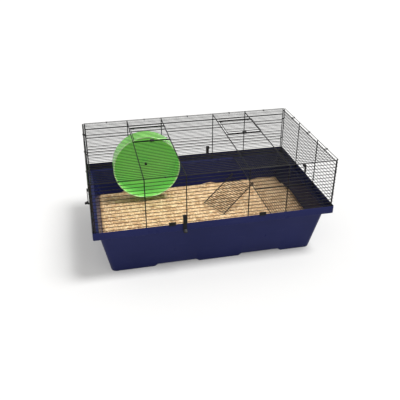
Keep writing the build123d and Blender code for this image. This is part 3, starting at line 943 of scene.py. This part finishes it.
def scatter_tree():
    """Shavings scattered on a surface, turned at random, kept inside the tub's walls."""
    tree, given = new_tree("scattered_shavings", [
        ("Density", "Float"), ("Seed", "Int"), ("Shaving", "Object"), ("Tilt", "Float"),
        ("Smallest", "Float"), ("Largest", "Float"), ("Limit", "Vector"), ("Material", "Material"),
    ])
    spread = add(
        tree, "GeometryNodeDistributePointsOnFaces",
        Mesh=given["Geometry"], Density=given["Density"], Seed=given["Seed"],
    )
    shape = add(tree, "GeometryNodeObjectInfo", Object=given["Shaving"])
    back = calc(tree, "MULTIPLY", given["Tilt"], -1.0)
    tip = random_between(tree, given["Seed"], back, given["Tilt"])
    lean = random_between(tree, calc(tree, "ADD", given["Seed"], 5), back, given["Tilt"])
    spin = random_between(tree, calc(tree, "ADD", given["Seed"], 9), 0.0, 2 * pi)
    turn = add(tree, "ShaderNodeCombineXYZ", X=tip, Y=lean, Z=spin)
    size = random_between(tree, calc(tree, "ADD", given["Seed"], 13), given["Smallest"], given["Largest"])
    laid = add(
        tree, "GeometryNodeInstanceOnPoints",
        Points=spread.outputs["Points"], Instance=shape.outputs["Geometry"],
        Rotation=turn.outputs[0], Scale=size,
    )
    tone = random_between(tree, calc(tree, "ADD", given["Seed"], 21), 0.0, 1.0)
    tinted = add(
        tree, "GeometryNodeStoreNamedAttribute", {"data_type": "FLOAT", "domain": "INSTANCE"},
        Geometry=laid.outputs[0], Name="tint", Value=tone,
    )
    solid = add(tree, "GeometryNodeRealizeInstances", Geometry=tinted.outputs[0])
    place = add(tree, "GeometryNodeInputPosition")
    low = add(tree, "ShaderNodeVectorMath", {"operation": "SCALE"}, Scale=-1.0)
    plug(tree, low.inputs[0], given["Limit"])
    above = vector_pick(tree, "MAXIMUM", place.outputs[0], low.outputs[0])
    within = vector_pick(tree, "MINIMUM", above, given["Limit"])
    kept = add(tree, "GeometryNodeSetPosition", Geometry=solid.outputs[0], Position=within)
    end_tree(tree, kept.outputs[0], given["Material"])
    return tree


def vector_pick(tree, operation, first, second):
    node = add(tree, "ShaderNodeVectorMath", {"operation": operation})
    plug(tree, node.inputs[0], first)
    plug(tree, node.inputs[1], second)
    return node.outputs[0]


def random_between(tree, seed, low, high):
    node = tree.nodes.new("FunctionNodeRandomValue")
    node.data_type = "FLOAT"
    floats = [socket for socket in node.inputs if socket.type == "VALUE" and socket.name in ("Min", "Max")]
    plug(tree, floats[0], low)
    plug(tree, floats[1], high)
    plug(tree, node.inputs["Seed"], seed)
    return [socket for socket in node.outputs if socket.type == "VALUE"][0]


def scatter_surface(inset):
    """The bedding's top, pulled in from the walls, for shavings to lie on."""
    edge = litter_edge(inset)
    shares = [max(step / LITTER_RINGS, 0.001) for step in range(LITTER_RINGS + 1)]
    return skin("surface", [surface_ring(edge, share) for share in shares], close=False)


def make_litter():
    mound = skin("litter_bed", litter_rings())
    values = [0.35 + 0.3 * noise.noise(Vector(v.co) * 90) for v in mound.vertices]
    tint = mound.attributes.new("tint", "FLOAT", "POINT")
    tint.data.foreach_set("value", values)
    piece("litter_bed", mound, DARKER_PINE, "cage", ["bedding"], sharp=180.0)
    tree = scatter_tree()
    surface = scatter_surface(WALL + 0.009)
    area = sum(face.area for face in surface.polygons)
    wall = wall_points(WALL + 0.0008, LITTER_BACK)
    limit = (max(point.x for point in wall), max(point.y for point in wall), 1.0)
    for name, count, shape, tilt, small, large, seed in (
        ("curled_shavings", CURL_COUNT, curl(0.0165, 0.0070, 1.9, 0.7, 4), 0.50, 0.6, 1.3, 4),
        ("flat_chips", CHIP_COUNT, curl(0.0105, 0.0066, 0.8, 0.3, 3), 0.40, 0.5, 1.25, 37),
    ):
        pattern = bpy.data.objects.new("pattern", shape)
        values = {
            "Density": count / area, "Seed": seed, "Shaving": pattern, "Tilt": tilt,
            "Smallest": small, "Largest": large, "Limit": limit, "Material": SHAVINGS,
        }
        mesh = grown(name, tree, values, surface.copy())
        bpy.data.objects.remove(pattern)
        made = piece(name, mesh, SHAVINGS, "cage", sharp=180.0)
        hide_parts("bedding")


# ------------------------------------------------------------------ studio

def make_studio():
    scene = bpy.context.scene
    mesh = bpy.data.meshes.new("studio_floor")
    scratch = bmesh.new()
    bmesh.ops.create_grid(scratch, x_segments=8, y_segments=8, size=FLOOR_REACH)
    scratch.to_mesh(mesh)
    scratch.free()
    mesh.materials.append(studio_white())
    linked("studio_floor", mesh)
    world = bpy.data.worlds.new("studio_air")
    world.use_nodes = True
    air = world.node_tree.nodes["Background"].inputs
    air["Color"].default_value = AIR_COLOUR
    air["Strength"].default_value = AIR_STRENGTH
    scene.world = world
    scene.view_settings.view_transform = "Standard"
    light = bpy.data.lights.new("key", "SUN")
    light.energy = KEY_STRENGTH
    light.angle = KEY_SPREAD
    linked("key", light).rotation_euler = Vector(KEY_DIRECTION).to_track_quat("Z", "Y").to_euler()


def make_camera():
    lens = bpy.data.cameras.new("camera")
    lens.lens = LENS
    lens.sensor_width = SENSOR
    camera = linked("camera", lens)
    turn = Matrix.Rotation(CAMERA_YAW, 4, "Z") @ Matrix.Rotation(CAMERA_PITCH, 4, "X")
    camera.matrix_world = Matrix.Translation(CAMERA_PLACE) @ turn @ Matrix.Rotation(CAMERA_ROLL, 4, "Z")
    bpy.context.scene.camera = camera


make_camera()
make_studio()
make_tub()
make_fences()
make_roof()
for name in ("left", "right"):
    make_door(name)
    rounded_copy(f"{name}_door_catch", 0.0005, f"{name}_catch", BLACK, f"{name}_door")
shelf_x, shelf_z = make_shelf()
make_ladder(shelf_x, shelf_z)
make_wheel()
make_litter()
for place in ("front", "back", "left", "right"):
    rounded_copy(f"{place}_clip", 0.0005, f"{place}_rim_clip", BLACK, f"{place}_clip_body")
rounded_copy("wheel_stand", 0.0009, "stand_post", BLACK, "cage")
rounded_copy("axle_cap", 0.0004, "hub_cap", BLACK, "cage")
rounded_copy("rim_caps", 0.0004, "rim_stop_caps", BLACK, "cage")
for node, material in (("wheel_axle", STEEL), ("wheel_washer", NYLON), ("panel_ties", LACQUER)):
    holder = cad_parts[node]
    holder.data.materials.clear()
    holder.data.materials.append(material)
